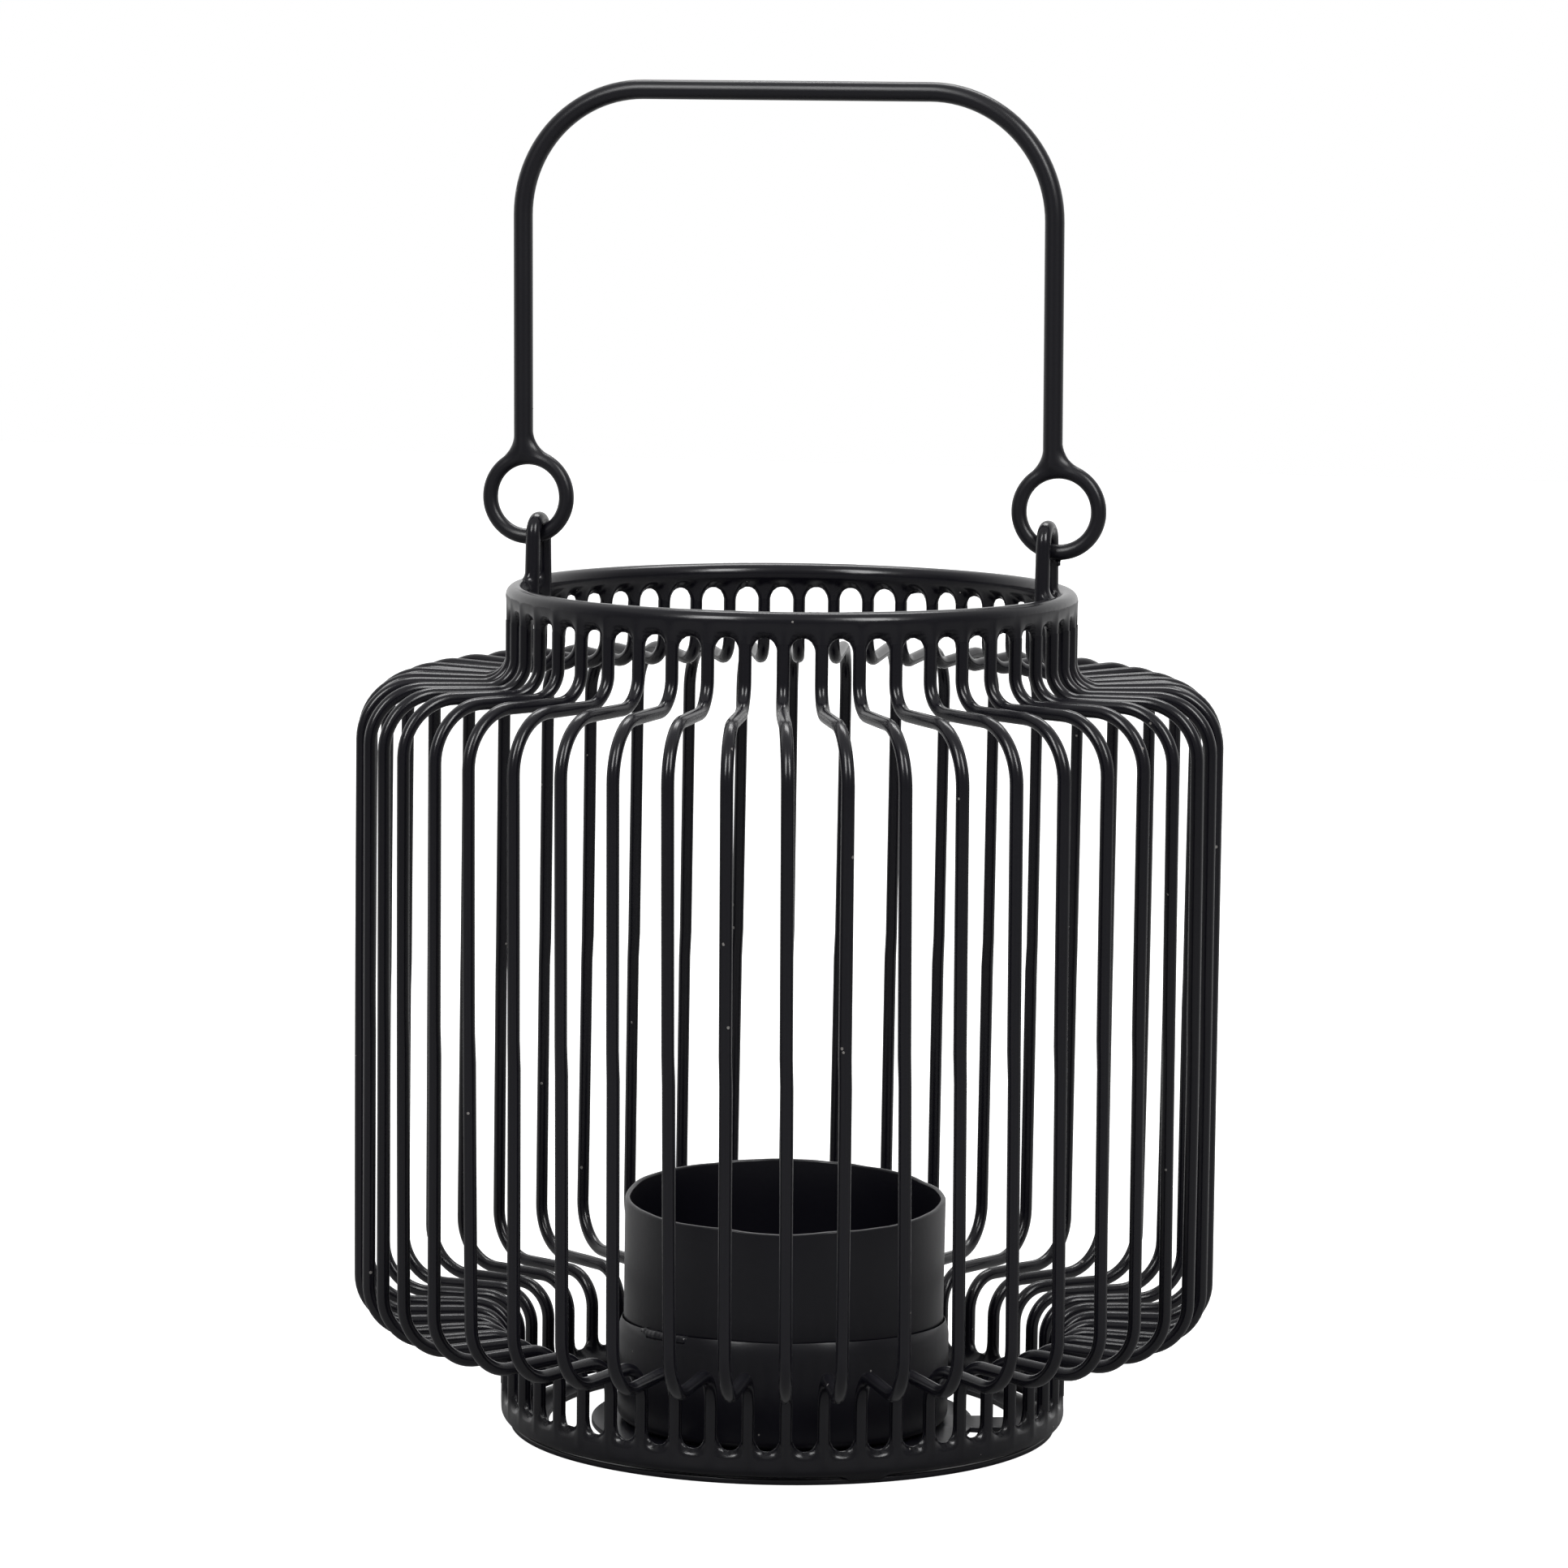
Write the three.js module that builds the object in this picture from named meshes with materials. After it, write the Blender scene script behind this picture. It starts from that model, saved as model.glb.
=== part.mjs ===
// Candle lantern of bent steel wire, in millimetres, +Z up.
// Forty-eight formed wires stand between a top ring and a base ring and make the cage.
// A stamped base plate under the base ring carries a candle cup, and a wire handle swings in two
// staples that stand on the top ring. The handle lies in the XZ plane and the origin is the middle
// of the face that the lantern stands on.
import * as THREE from 'three';

// ---- driving dimensions -------------------------------------------------------------------
const CAGE_DIAMETER = 150.2;          // over the wires
const BODY_HEIGHT = 147.9;            // floor to the top of the top ring
const HANDLE_TOP = 234.2;             // floor to the top of the upright handle

const RIB_COUNT = 48;
const RIB_WIRE = 2.2;                 // diameter
const NECK_RADIUS = 48.4;             // middle of the wire, above the shoulder and below the hip
const SHOULDER_INNER_HEIGHT = 130.0;  // the upper stretch is all but level
const SHOULDER_OUTER_HEIGHT = 130.8;
const HIP_OUTER_HEIGHT = 19.1;        // and so is the lower one
const HIP_INNER_HEIGHT = 19.4;
const NECK_BEND = 5.0;                // bend radii of the wire's middle
const SHOULDER_BEND = 9.3;
const HIP_BEND = 8.4;
const FOOT_BEND = 6.2;

const RING_ROD = 3.5;                 // top ring and base ring
const TOP_RING_RADIUS = 47.7;
const BASE_RING_RADIUS = 47.6;

const PLATE_DIAMETER = 95.4;
const PLATE_THICKNESS = 1.0;
const PLATE_RIM_INNER_RADIUS = 41.0;
const PLATE_DISC_RADIUS = 33.5;
const SPOKE_COUNT = 3;
const SPOKE_WIDTH = 9.0;
const SPOKE_TURN = 12;                // degrees from +X to the first spoke
const WINDOW_CORNER = 2.0;            // rounding of the corners between spokes and rim

const CUP_PAN_RADIUS = 29.0;          // outside
const CUP_PAN_WALL = 0.8;
const CUP_PAN_HEIGHT = 18.2;          // above the plate
const CANDLE_SEAT_RADIUS = 26.0;      // the pan's floor is raised inside this radius
const CANDLE_SEAT_RAISE = 0.4;
const CUP_SLEEVE_RADIUS = 27.9;       // outside
const CUP_SLEEVE_WALL = 0.9;
const CUP_RIM_HEIGHT = 40.5;          // floor to the rim

const HANDLE_WIRE = 3.35;
const HANDLE_SHIFT = -0.5;            // staples and handle sit a little to one side
const HANDLE_HALF_WIDTH = 47.4;       // from the middle of the handle to the middle of an eye
const LEG_OFFSET = -1.1;              // both legs are welded beside the middle of their eyes
const HANDLE_CORNER = 21.8;
const EYE_ROD = 2.5;
const EYE_RADIUS = 7.0;               // middle of the rod
const LUG_WIRE = 2.6;
const LUG_HALF_SPREAD = 45.5;         // from the middle of the handle to a staple
const LUG_RIGHT_RISE = 1.0;           // the right staple stands taller than the left one
const LUG_BEND = 3.0;                 // middle of the wire; the legs stand twice this apart
const PIVOT_HEIGHT = 154.8;           // the axis that the handle swings about

const FIT_GAP = 0.3;                  // between two pieces that are welded or rest on each other

// ---- materials ----------------------------------------------------------------------------
const blackWire = new THREE.MeshStandardMaterial({ color: 0x17171b, roughness: 0.42, metalness: 0.1 });
const blackSheet = new THREE.MeshStandardMaterial({ color: 0x15151a, roughness: 0.48, metalness: 0.1 });

// ---- wires --------------------------------------------------------------------------------
// A wire's route is a list of stations, each a place and the direction of travel there.
// Straight stretches have a station at each end only, and bends have a few in between.
class WireRoute extends THREE.Curve {
  constructor(stations) {
    super();
    this.stations = stations;
  }
  stationAt(u) {
    return this.stations[Math.round(u * (this.stations.length - 1))];
  }
  getPointAt(u) {
    return this.stationAt(u).place.clone();
  }
  getTangentAt(u) {
    return this.stationAt(u).travel.clone();
  }
}

// The route through a line of corners, with an arc of the given radius and steps at each one.
function bentRoute(corners, bends) {
  const first = corners[0];
  const last = corners[corners.length - 1];
  const stations = [{ place: first, travel: corners[1].clone().sub(first).normalize() }];
  bends.forEach(({ radius, steps }, i) => {
    const corner = corners[i + 1];
    const inward = corner.clone().sub(corners[i]).normalize();
    const onward = corners[i + 2].clone().sub(corner).normalize();
    const turn = inward.angleTo(onward);
    const start = corner.clone().addScaledVector(inward, -radius * Math.tan(turn / 2));
    const side = onward.clone().addScaledVector(inward, -onward.dot(inward)).normalize();
    for (let step = 0; step <= steps; step += 1) {
      const angle = (turn * step) / steps;
      const place = start.clone()
        .addScaledVector(inward, radius * Math.sin(angle))
        .addScaledVector(side, radius * (1 - Math.cos(angle)));
      const travel = inward.clone().multiplyScalar(Math.cos(angle)).addScaledVector(side, Math.sin(angle));
      stations.push({ place, travel });
    }
  });
  stations.push({ place: last, travel: last.clone().sub(corners[corners.length - 2]).normalize() });
  return new WireRoute(stations);
}

function roundSection(diameter, sides) {
  const points = [];
  for (let side = 0; side < sides; side += 1) {
    const angle = (2 * Math.PI * (side + 0.5)) / sides;
    points.push(new THREE.Vector2((diameter / 2) * Math.cos(angle), (diameter / 2) * Math.sin(angle)));
  }
  return new THREE.Shape(points);
}

function wire(route, diameter, sides) {
  const steps = route.stations.length - 1;
  return new THREE.ExtrudeGeometry(roundSection(diameter, sides), { steps, extrudePath: route });
}

const group = new THREE.Group();

function add(name, geometry, material, parent = group) {
  const mesh = new THREE.Mesh(geometry, material);
  mesh.name = name;
  parent.add(mesh);
  return mesh;
}

// ---- cage ---------------------------------------------------------------------------------
const topRingHeight = BODY_HEIGHT - RING_ROD / 2;
const baseRingHeight = PLATE_THICKNESS + FIT_GAP + RING_ROD / 2;

function ringGeometry(radius, rod) {
  return new THREE.TorusGeometry(radius, rod / 2, 8, RIB_COUNT);
}

// One cage wire in the XZ plane on the +X side: neck, shoulder, side, hip and foot.
function ribGeometry() {
  const corner = (radius, height) => new THREE.Vector3(radius, 0, height);
  const sideRadius = (CAGE_DIAMETER - RIB_WIRE) / 2;
  return wire(bentRoute([
    corner(NECK_RADIUS, topRingHeight - RING_ROD / 2 - FIT_GAP),
    corner(NECK_RADIUS, SHOULDER_INNER_HEIGHT),
    corner(sideRadius, SHOULDER_OUTER_HEIGHT),
    corner(sideRadius, HIP_OUTER_HEIGHT),
    corner(NECK_RADIUS, HIP_INNER_HEIGHT),
    corner(NECK_RADIUS, baseRingHeight + RING_ROD / 2 + FIT_GAP),
  ], [
    { radius: NECK_BEND, steps: 2 },
    { radius: SHOULDER_BEND, steps: 3 },
    { radius: HIP_BEND, steps: 3 },
    { radius: FOOT_BEND, steps: 2 },
  ]), RIB_WIRE, 6);
}

function addCage() {
  add('top_ring', ringGeometry(TOP_RING_RADIUS, RING_ROD), blackWire).position.z = topRingHeight;
  add('base_ring', ringGeometry(BASE_RING_RADIUS, RING_ROD), blackWire).position.z = baseRingHeight;
  const rib = ribGeometry();
  for (let i = 0; i < RIB_COUNT; i += 1) {
    const name = `rib_${String(i + 1).padStart(2, '0')}`;
    add(name, rib, blackWire).rotation.z = (2 * Math.PI * i) / RIB_COUNT;
  }
}

// ---- base plate and candle cup ------------------------------------------------------------
// One window of the plate, between the central disc, the rim and two spokes.
function plateWindow(middle) {
  const spokeHalf = SPOKE_WIDTH / 2 + WINDOW_CORNER;
  const outer = PLATE_RIM_INNER_RADIUS;
  const inner = PLATE_DISC_RADIUS;
  const reach = Math.PI / SPOKE_COUNT;
  const outerReach = reach - Math.asin(spokeHalf / outer);
  const innerReach = reach - Math.asin(spokeHalf / inner);
  const endReach = reach - Math.asin((spokeHalf - WINDOW_CORNER) / ((outer + inner) / 2));
  const end = (sign) => {
    const angle = middle + sign * endReach;
    const radius = (outer + inner) / 2;
    return new THREE.Vector2(radius * Math.cos(angle), radius * Math.sin(angle));
  };
  const window = new THREE.Path();
  window.absarc(0, 0, outer, middle - outerReach, middle + outerReach, false);
  window.lineTo(end(1).x, end(1).y);
  window.absarc(0, 0, inner, middle + innerReach, middle - innerReach, true);
  window.lineTo(end(-1).x, end(-1).y);
  window.closePath();
  return window;
}

function basePlateGeometry() {
  const plate = new THREE.Shape();
  plate.absarc(0, 0, PLATE_DIAMETER / 2, 0, 2 * Math.PI, false);
  for (let i = 0; i < SPOKE_COUNT; i += 1) {
    const spoke = THREE.MathUtils.degToRad(SPOKE_TURN) + (2 * Math.PI * i) / SPOKE_COUNT;
    plate.holes.push(plateWindow(spoke + Math.PI / SPOKE_COUNT));
  }
  return new THREE.ExtrudeGeometry(plate, {
    depth: PLATE_THICKNESS, bevelEnabled: false, curveSegments: 24,
  });
}

// A turned profile given as [radius, height] corners, closed on itself.
function turned(corners) {
  const points = corners.map(([radius, height]) => new THREE.Vector2(radius, height));
  points.push(points[0].clone());
  const geometry = new THREE.LatheGeometry(points, RIB_COUNT);
  geometry.rotateX(Math.PI / 2);
  return geometry;
}

// The pan is pressed from sheet, with a rounded foot and an edge rolled inwards. The middle of its
// floor is raised, so the candle stands inside the foot of the sleeve.
function cupPanGeometry() {
  const floor = PLATE_THICKNESS + FIT_GAP;
  const top = PLATE_THICKNESS + CUP_PAN_HEIGHT;
  const outer = CUP_PAN_RADIUS;
  const inner = outer - CUP_PAN_WALL;
  const seat = CANDLE_SEAT_RADIUS;
  const raised = floor + CANDLE_SEAT_RAISE;
  return turned([
    [0, raised], [seat - CUP_PAN_WALL, raised], [seat - CANDLE_SEAT_RAISE, floor],
    [outer - 1.5, floor], [outer - 0.4, floor + 0.5], [outer, floor + 1.6],
    [outer, top - 0.5], [outer - CUP_PAN_WALL / 2, top], [inner, top - 0.2],
    [inner, floor + CUP_PAN_WALL], [seat + CANDLE_SEAT_RAISE, floor + CUP_PAN_WALL],
    [seat, raised + CUP_PAN_WALL], [0, raised + CUP_PAN_WALL],
  ]);
}

function cupSleeveGeometry() {
  const foot = PLATE_THICKNESS + 2 * FIT_GAP + CUP_PAN_WALL;
  const inner = CUP_SLEEVE_RADIUS - CUP_SLEEVE_WALL;
  return turned([
    [inner, foot], [CUP_SLEEVE_RADIUS, foot], [CUP_SLEEVE_RADIUS, CUP_RIM_HEIGHT], [inner, CUP_RIM_HEIGHT],
  ]);
}

function addBase() {
  add('base_plate', basePlateGeometry(), blackSheet);
  add('cup_pan', cupPanGeometry(), blackSheet);
  add('cup_sleeve', cupSleeveGeometry(), blackSheet);
}

// ---- handle -------------------------------------------------------------------------------
// A lug is a staple of wire across the ring, with the pivot line in the middle of its bend.
function lugGeometry(rise) {
  const foot = BODY_HEIGHT + FIT_GAP;
  const crown = PIVOT_HEIGHT + LUG_BEND + rise;
  const bend = { radius: LUG_BEND, steps: 4 };
  return wire(bentRoute([
    new THREE.Vector3(0, -LUG_BEND, foot),
    new THREE.Vector3(0, -LUG_BEND, crown),
    new THREE.Vector3(0, LUG_BEND, crown),
    new THREE.Vector3(0, LUG_BEND, foot),
  ], [bend, bend]), LUG_WIRE, 8);
}

// The eye's centre is over the pivot line, so that its rod crosses the lug on that line.
const eyeOffset = HANDLE_HALF_WIDTH - LUG_HALF_SPREAD;
const eyeHeight = PIVOT_HEIGHT + Math.sqrt(EYE_RADIUS ** 2 - eyeOffset ** 2);

function eyeGeometry() {
  const eye = new THREE.TorusGeometry(EYE_RADIUS, EYE_ROD / 2, 8, 24);
  eye.rotateX(Math.PI / 2);
  return eye;
}

function bailGeometry() {
  const foot = eyeHeight + EYE_RADIUS + EYE_ROD / 2 + FIT_GAP;
  const bar = HANDLE_TOP - HANDLE_WIRE / 2;
  const left = LEG_OFFSET - HANDLE_HALF_WIDTH;
  const right = LEG_OFFSET + HANDLE_HALF_WIDTH;
  const bend = { radius: HANDLE_CORNER, steps: 7 };
  return wire(bentRoute([
    new THREE.Vector3(left, 0, foot),
    new THREE.Vector3(left, 0, bar),
    new THREE.Vector3(right, 0, bar),
    new THREE.Vector3(right, 0, foot),
  ], [bend, bend]), HANDLE_WIRE, 8);
}

function addHandle() {
  const leftEye = HANDLE_SHIFT - HANDLE_HALF_WIDTH;
  const rightEye = HANDLE_SHIFT + HANDLE_HALF_WIDTH;
  add('lug_left', lugGeometry(0), blackWire).position.x = HANDLE_SHIFT - LUG_HALF_SPREAD;
  add('lug_right', lugGeometry(LUG_RIGHT_RISE), blackWire).position.x = HANDLE_SHIFT + LUG_HALF_SPREAD;
  add('handle_bail', bailGeometry(), blackWire).position.x = HANDLE_SHIFT;
  add('handle_eye_left', eyeGeometry(), blackWire).position.set(leftEye, 0, eyeHeight);
  add('handle_eye_right', eyeGeometry(), blackWire).position.set(rightEye, 0, eyeHeight);
}

addCage();
addBase();
addHandle();

export default group;
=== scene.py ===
# %% [markdown]
# # A wire candle lantern
# This lesson dresses the CAD model of a small black lantern: a cage of bent wires between two
# rings, a candle cup on a plate, and a handle that swings. The CAD gives the main places and
# sizes, and each cell below makes one piece or one finish for it.

import math
import random

import bmesh
import bpy
from mathutils import Matrix, Vector, noise


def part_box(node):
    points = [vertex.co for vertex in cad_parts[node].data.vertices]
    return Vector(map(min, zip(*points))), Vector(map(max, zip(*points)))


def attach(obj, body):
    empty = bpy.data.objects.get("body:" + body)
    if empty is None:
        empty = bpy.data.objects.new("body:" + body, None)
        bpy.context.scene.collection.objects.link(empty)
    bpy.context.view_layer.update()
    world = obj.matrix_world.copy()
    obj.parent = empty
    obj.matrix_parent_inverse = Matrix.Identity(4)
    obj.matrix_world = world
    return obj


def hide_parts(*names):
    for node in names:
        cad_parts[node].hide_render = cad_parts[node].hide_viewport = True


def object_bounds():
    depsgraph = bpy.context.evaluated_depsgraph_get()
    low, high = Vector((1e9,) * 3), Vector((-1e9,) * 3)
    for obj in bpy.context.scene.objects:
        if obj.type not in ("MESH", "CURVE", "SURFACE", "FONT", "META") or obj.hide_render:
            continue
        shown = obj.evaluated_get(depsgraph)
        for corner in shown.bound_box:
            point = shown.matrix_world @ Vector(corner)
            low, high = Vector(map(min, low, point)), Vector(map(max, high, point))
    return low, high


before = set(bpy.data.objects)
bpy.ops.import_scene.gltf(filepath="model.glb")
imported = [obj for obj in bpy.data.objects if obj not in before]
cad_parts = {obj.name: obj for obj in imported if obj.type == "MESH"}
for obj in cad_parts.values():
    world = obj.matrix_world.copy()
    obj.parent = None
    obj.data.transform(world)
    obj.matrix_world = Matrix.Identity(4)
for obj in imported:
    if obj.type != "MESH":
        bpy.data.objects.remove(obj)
cad_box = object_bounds()
MM = 0.001
BODY = "lantern_body"
HANDLE = "handle"

# %% [markdown]
# ## The camera
# The camera stands a metre away with a long lens, so the cage hardly tapers. It stands to the
# right of the middle, so that the handle's right side comes forward, it looks down a little, and
# it leans by less than a degree. We build its axes one by one: a turn about Z, a drop, and a lean
# about its own line of sight.

# %% Camera
VIEW_TURN = math.radians(15)
VIEW_DROP = math.radians(6.35)
VIEW_LEAN = math.radians(0.68)
VIEW_DISTANCE = 0.986
VIEW_TARGET = Vector((-0.001, 0.0, 0.1129))
LENS = 130.4
SENSOR = 36.0

turn = Matrix.Rotation(VIEW_TURN, 4, "Z")
drop = Matrix.Rotation(math.radians(90) - VIEW_DROP, 4, "X")
lean = Matrix.Rotation(VIEW_LEAN, 4, "Z")
camera = bpy.data.objects.new("camera", bpy.data.cameras.new("camera"))
camera.data.lens = LENS
camera.data.sensor_width = SENSOR
camera.data.clip_start = 0.01
camera.matrix_world = (
    turn @ Matrix.Translation(VIEW_TARGET) @ drop @ lean @ Matrix.Translation((0, 0, VIEW_DISTANCE))
)
bpy.context.scene.collection.objects.link(camera)
bpy.context.scene.camera = camera
TO_CAMERA = (turn @ Vector((0, -1, 0, 0))).to_3d()
print("camera at", [round(value, 3) for value in camera.matrix_world.translation])

# %% [markdown]
# ## Sizes from the frame
# The rings and the wires are round, so the corners of their boxes are enough to know them. We
# read them once and give them names. The wires' bends, and small details that the CAD leaves
# out, such as the paint in the corners, get their own values where they are made.

# %% Sizes
def ring_size(node):
    low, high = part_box(node)
    rod = (high.z - low.z) / 2
    return high.x - rod, (high.z + low.z) / 2, rod


TOP_RADIUS, TOP_HEIGHT, TOP_ROD = ring_size("top_ring")
BASE_RADIUS, BASE_HEIGHT, BASE_ROD = ring_size("base_ring")
RIB_NODES = sorted(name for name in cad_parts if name.startswith("rib_"))
RIB_COUNT = len(RIB_NODES)
RIB_ROD = 1.1 * MM
SIDE_RADIUS = cad_box[1][0] - RIB_ROD
NECK_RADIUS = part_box("rib_01")[0].x + RIB_ROD
print("wires:", RIB_COUNT)
print("neck radius:", round(NECK_RADIUS / MM, 2), "side radius:", round(SIDE_RADIUS / MM, 2))

# %% [markdown]
# ## Helpers for finished meshes
# Every piece ends in the same way. A bmesh has its faces turned outwards and becomes a mesh. The
# mesh is shaded smooth, takes its coat and becomes an object at the origin. It hangs under the
# empty of the body that carries it, and the CAD parts that it stands for are hidden.

# %% Finishing a piece
def finish_piece(name, mesh_or_bm, material, body, nodes=()):
    if isinstance(mesh_or_bm, bmesh.types.BMesh):
        bmesh.ops.recalc_face_normals(mesh_or_bm, faces=mesh_or_bm.faces)
        mesh = bpy.data.meshes.new(name)
        mesh_or_bm.to_mesh(mesh)
        mesh_or_bm.free()
    else:
        mesh = mesh_or_bm
        mesh.name = name
    mesh.shade_smooth()
    mesh.materials.clear()
    mesh.materials.append(material)
    piece = bpy.data.objects.new(name, mesh)
    bpy.context.scene.collection.objects.link(piece)
    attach(piece, body)
    if nodes:
        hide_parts(*nodes)
    return piece


# %% [markdown]
# ## Node groups for the paint
# The whole lantern wears one satin black powder coat, but it doesn't look the same everywhere.
# The coat has a faint orange peel, its gloss drifts, and a few pale specks of dust sit on it.
# Each effect is a node group with named sockets, so every material can take it in its own
# measure.

# %% Node helpers
def new_group(name, inputs, outputs):
    group = bpy.data.node_groups.new(name, "ShaderNodeTree")
    for label, kind, value in inputs:
        socket = group.interface.new_socket(label, in_out="INPUT", socket_type=kind)
        if value is not None:
            socket.default_value = value
    for label, kind in outputs:
        group.interface.new_socket(label, in_out="OUTPUT", socket_type=kind)
    start = group.nodes.new("NodeGroupInput")
    end = group.nodes.new("NodeGroupOutput")
    return group, start.outputs, end.inputs


def add_node(tree, kind, **settings):
    node = tree.nodes.new(kind)
    for key, value in settings.items():
        setattr(node, key, value)
    return node


def maths(tree, operation, first, second=None, third=None):
    node = add_node(tree, "ShaderNodeMath", operation=operation)
    for socket, value in zip(node.inputs, (first, second, third)):
        if value is None:
            continue
        if isinstance(value, (int, float)):
            socket.default_value = value
        else:
            tree.links.new(value, socket)
    return node.outputs[0]


def object_point(tree):
    return add_node(tree, "ShaderNodeTexCoord").outputs["Object"]


def noise_value(tree, scale, detail=2.0):
    node = add_node(tree, "ShaderNodeTexNoise")
    node.inputs["Detail"].default_value = detail
    if isinstance(scale, (int, float)):
        node.inputs["Scale"].default_value = scale
    else:
        tree.links.new(scale, node.inputs["Scale"])
    tree.links.new(object_point(tree), node.inputs["Vector"])
    return node.outputs["Fac"]


# %% Orange peel
PEEL_WAVE_SHARE = 2.5
PEEL_HEIGHT = 0.1 * MM


def build_orange_peel():
    tree, given, result = new_group(
        "orange_peel",
        [
            ("Grain", "NodeSocketFloat", 900.0),
            ("Waves", "NodeSocketFloat", 150.0),
            ("Strength", "NodeSocketFloat", 0.1),
        ],
        [("Normal", "NodeSocketVector")],
    )
    fine = noise_value(tree, given["Grain"])
    broad = noise_value(tree, given["Waves"])
    height = maths(tree, "MULTIPLY_ADD", broad, PEEL_WAVE_SHARE, fine)
    bump = add_node(tree, "ShaderNodeBump")
    bump.inputs["Distance"].default_value = PEEL_HEIGHT
    tree.links.new(given["Strength"], bump.inputs["Strength"])
    tree.links.new(height, bump.inputs["Height"])
    tree.links.new(bump.outputs["Normal"], result["Normal"])
    return tree


ORANGE_PEEL = build_orange_peel()

# %% [markdown]
# Dust is a Voronoi pattern: each cell has one point, and only a small ball round the point is
# pale. A noise keeps whole stretches clean, because real dust comes in drifts.

# %% Dust
DRIFT_SCALE = 70.0
CLEAN_BELOW = 0.6


def build_dust():
    tree, given, result = new_group(
        "dust_specks",
        [("Cells", "NodeSocketFloat", 320.0), ("Size", "NodeSocketFloat", 0.1)],
        [("Mask", "NodeSocketFloat")],
    )
    cells = add_node(tree, "ShaderNodeTexVoronoi", feature="F1")
    tree.links.new(object_point(tree), cells.inputs["Vector"])
    tree.links.new(given["Cells"], cells.inputs["Scale"])
    near = maths(tree, "LESS_THAN", cells.outputs["Distance"], given["Size"])
    drift = maths(tree, "GREATER_THAN", noise_value(tree, DRIFT_SCALE), CLEAN_BELOW)
    tree.links.new(maths(tree, "MULTIPLY", near, drift), result["Mask"])
    return tree


DUST = build_dust()

# %% [markdown]
# No sprayed coat is equally glossy all over. A broad noise moves the roughness a little either
# side of its middle value.

# %% Gloss drift
def build_gloss_drift():
    tree, given, result = new_group(
        "gloss_drift",
        [
            ("Middle", "NodeSocketFloat", 0.4),
            ("Spread", "NodeSocketFloat", 0.1),
            ("Scale", "NodeSocketFloat", 60.0),
        ],
        [("Roughness", "NodeSocketFloat")],
    )
    drift = maths(tree, "SUBTRACT", noise_value(tree, given["Scale"], detail=4.0), 0.5)
    value = maths(tree, "MULTIPLY_ADD", drift, given["Spread"], given["Middle"])
    tree.links.new(value, result["Roughness"])
    return tree


GLOSS_DRIFT = build_gloss_drift()
print("node groups:", [group.name for group in bpy.data.node_groups])

# %% [markdown]
# ## The black coats
# One function makes a coat and each kind of surface calls it with its own values. Wire and the
# weld corners shine most, and in the corners, where the paint gathers, its peel is stronger.
# Sheet has the strongest peel. The handle is the dullest, and its peel hardly shows.

# %% Coats
BLACK = (0.0040, 0.0037, 0.0068, 1.0)
DUST_TINT = (0.22, 0.21, 0.20, 1.0)
DUST_ROUGHNESS = 0.4
PAINT_IOR = 1.5


def black_coat(name, middle, spread, peel, waves, dust_size):
    material = bpy.data.materials.new(name)
    material.use_nodes = True
    tree = material.node_tree
    shader = tree.nodes["Principled BSDF"]
    shader.inputs["IOR"].default_value = PAINT_IOR

    dust = add_node(tree, "ShaderNodeGroup", node_tree=DUST)
    dust.inputs["Size"].default_value = dust_size
    colour = add_node(tree, "ShaderNodeMix", data_type="RGBA")
    colour.inputs["A"].default_value = BLACK
    colour.inputs["B"].default_value = DUST_TINT
    tree.links.new(dust.outputs["Mask"], colour.inputs["Factor"])
    tree.links.new(colour.outputs["Result"], shader.inputs["Base Color"])

    drift = add_node(tree, "ShaderNodeGroup", node_tree=GLOSS_DRIFT)
    drift.inputs["Middle"].default_value = middle
    drift.inputs["Spread"].default_value = spread
    rough = maths(tree, "MULTIPLY_ADD", dust.outputs["Mask"], DUST_ROUGHNESS, drift.outputs["Roughness"])
    tree.links.new(rough, shader.inputs["Roughness"])

    skin = add_node(tree, "ShaderNodeGroup", node_tree=ORANGE_PEEL)
    skin.inputs["Strength"].default_value = peel
    skin.inputs["Waves"].default_value = waves
    tree.links.new(skin.outputs["Normal"], shader.inputs["Normal"])
    return material


WIRE_COAT = black_coat("wire_coat", middle=0.22, spread=0.06, peel=0.06, waves=150.0, dust_size=0.085)
SHEET_COAT = black_coat("sheet_coat", middle=0.30, spread=0.10, peel=0.12, waves=110.0, dust_size=0.06)
POOLED_COAT = black_coat("pooled_coat", middle=0.22, spread=0.06, peel=0.10, waves=200.0, dust_size=0.06)
HANDLE_COAT = black_coat("handle_coat", middle=0.33, spread=0.06, peel=0.03, waves=120.0, dust_size=0.07)
print("coats:", [material.name for material in (WIRE_COAT, SHEET_COAT, POOLED_COAT, HANDLE_COAT)])

# %% [markdown]
# ## Bending wire
# A wire machine knows two moves, feed and bend, and bmesh has both: extrude a ring of edges and
# move it on, or spin it about a centre. So a wire here is a list of corners with a bend radius
# at each one. The helper feeds up to the start of each bend, spins through it, and caps both
# ends. It marks the edges round the caps as sharp, because smooth shading would round them.

# %% Feed and bend
def circle_edges(circle):
    return list({edge for vert in circle["verts"] for edge in vert.link_edges})


def loop_parts(geometry):
    edges = [part for part in geometry if isinstance(part, bmesh.types.BMEdge)]
    verts = [part for part in geometry if isinstance(part, bmesh.types.BMVert)]
    return edges, verts


def feed(bm, edges, travel, feed_length):
    pieces = max(1, round(travel.length / feed_length))
    for _ in range(pieces):
        grown = bmesh.ops.extrude_edge_only(bm, edges=edges)["geom"]
        edges, verts = loop_parts(grown)
        bmesh.ops.translate(bm, verts=verts, vec=travel / pieces)
    return edges


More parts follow.
